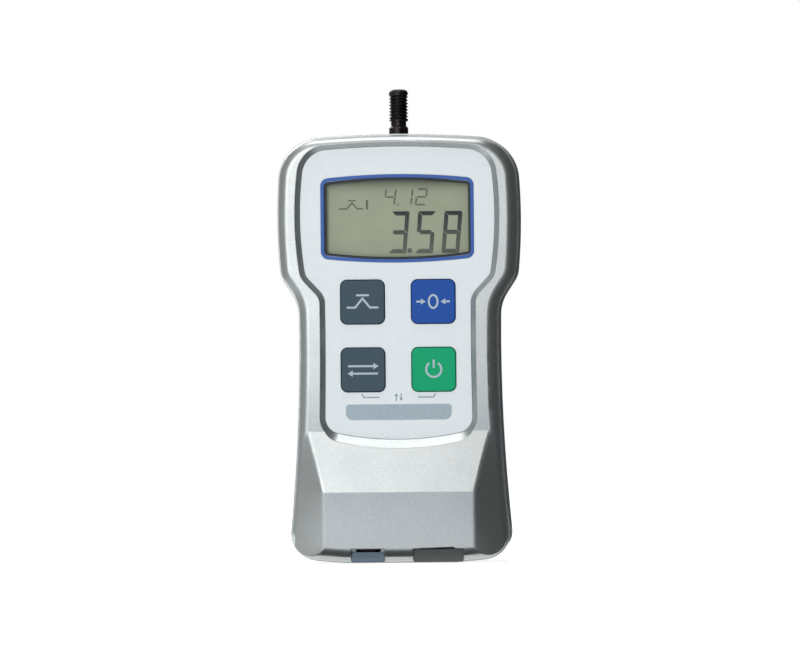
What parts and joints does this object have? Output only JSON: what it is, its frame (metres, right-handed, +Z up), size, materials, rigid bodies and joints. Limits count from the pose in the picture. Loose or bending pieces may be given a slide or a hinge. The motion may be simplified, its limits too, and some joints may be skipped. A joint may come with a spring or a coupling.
{
  "type": "digital force gauge",
  "caption": "Handheld digital force gauge: waisted metal case, recessed front plate with display and square keys, threaded measuring stud on top, battery door and threaded inserts at the back.",
  "frame": {"origin": "middle of the flat base, on the surface that the gauge stands on", "axes": "+Z up along the measuring shaft, -Y out of the front with the display, +X to the right seen from the front"},
  "size_m": [0.075, 0.038, 0.147],
  "materials": {
    "case_silver": "satin silver paint",
    "seal_black": "matte",
    "screw_steel": "satin",
    "overlay_white": "satin",
    "window_blue": "satin",
    "window_clear": "gloss",
    "display_grey": "satin",
    "holder_black": "matte",
    "key_slate": "satin",
    "key_blue": "satin",
    "key_green": "satin",
    "mat_grey": "matte",
    "board_green": "satin",
    "chip_black": "matte",
    "shaft_black": "satin black oxide",
    "bush_brass": "satin",
    "cell_aluminium": "satin",
    "gauge_foil": "satin",
    "chassis_steel": "satin",
    "cover_grey": "matte",
    "socket_metal": "gloss",
    "tray_black": "matte",
    "door_silver": "satin silver paint",
    "label_grey": "matte",
    "contact_steel": "satin",
    "battery_can": "satin"
  },
  "bodies": {
    "base": {"front_case": "case_silver", "rear_case": "case_silver", "case_seal": "seal_black", "case_screws": "screw_steel", "front_overlay": "overlay_white", "window_frame": "window_blue", "display_window": "window_clear", "lcd_glass": "display_grey", "lcd_holder": "holder_black", "lcd_contact_strips": "mat_grey", "key_mat": "mat_grey", "main_board": "board_green", "board_screws": "screw_steel", "board_chips": "chip_black", "shaft_seal": "seal_black", "guide_bush": "bush_brass", "load_cell": "cell_aluminium", "strain_gauges": "gauge_foil", "load_cell_bolt": "screw_steel", "chassis": "chassis_steel", "chassis_screws": "screw_steel", "mounting_inserts": "bush_brass", "socket_board": "board_green", "data_socket": "socket_metal", "adapter_socket": "socket_metal", "battery_tray": "tray_black", "battery_upper": "battery_can", "battery_lower": "battery_can", "battery_springs": "contact_steel", "battery_plates": "contact_steel", "rear_label": "label_grey"},
    "peak_key": {"peak_key": "key_slate"},
    "zero_key": {"zero_key": "key_blue"},
    "unit_key": {"unit_key": "key_slate"},
    "power_key": {"power_key": "key_green"},
    "shaft": {"measuring_shaft": "shaft_black", "shaft_lock_nut": "screw_steel"},
    "left_port_cover": {"left_port_cover": "cover_grey"},
    "right_port_cover": {"right_port_cover": "cover_grey"},
    "battery_door": {"battery_door": "door_silver"}
  },
  "joints": [
    {"name": "peak_key_press", "type": "slide", "parent": "base", "child": "peak_key", "axis": [0, 1, 0], "range_m": [0, 0.0008], "stiffness_N_per_m": 800},
    {"name": "zero_key_press", "type": "slide", "parent": "base", "child": "zero_key", "axis": [0, 1, 0], "range_m": [0, 0.0008], "stiffness_N_per_m": 800},
    {"name": "unit_key_press", "type": "slide", "parent": "base", "child": "unit_key", "axis": [0, 1, 0], "range_m": [0, 0.0008], "stiffness_N_per_m": 800},
    {"name": "power_key_press", "type": "slide", "parent": "base", "child": "power_key", "axis": [0, 1, 0], "range_m": [0, 0.0008], "stiffness_N_per_m": 800},
    {"name": "shaft_deflection", "type": "slide", "parent": "base", "child": "shaft", "axis": [0, 0, 1], "range_m": [-0.00025, 0.00025], "stiffness_N_per_m": 4000},
    {"name": "battery_door_hinge", "type": "hinge", "parent": "base", "child": "battery_door", "pos_m": [0, 0.018, 0.01], "axis": [-1, 0, 0], "range_deg": [0, 95]},
    {"name": "left_port_cover_hinge", "type": "hinge", "parent": "base", "child": "left_port_cover", "pos_m": [-0.0098, -0.0165, 0.00095], "axis": [1, 0, 0], "range_deg": [0, 80]},
    {"name": "right_port_cover_hinge", "type": "hinge", "parent": "base", "child": "right_port_cover", "pos_m": [0.012, -0.0168, 0.00095], "axis": [1, 0, 0], "range_deg": [0, 80]}
  ]
}
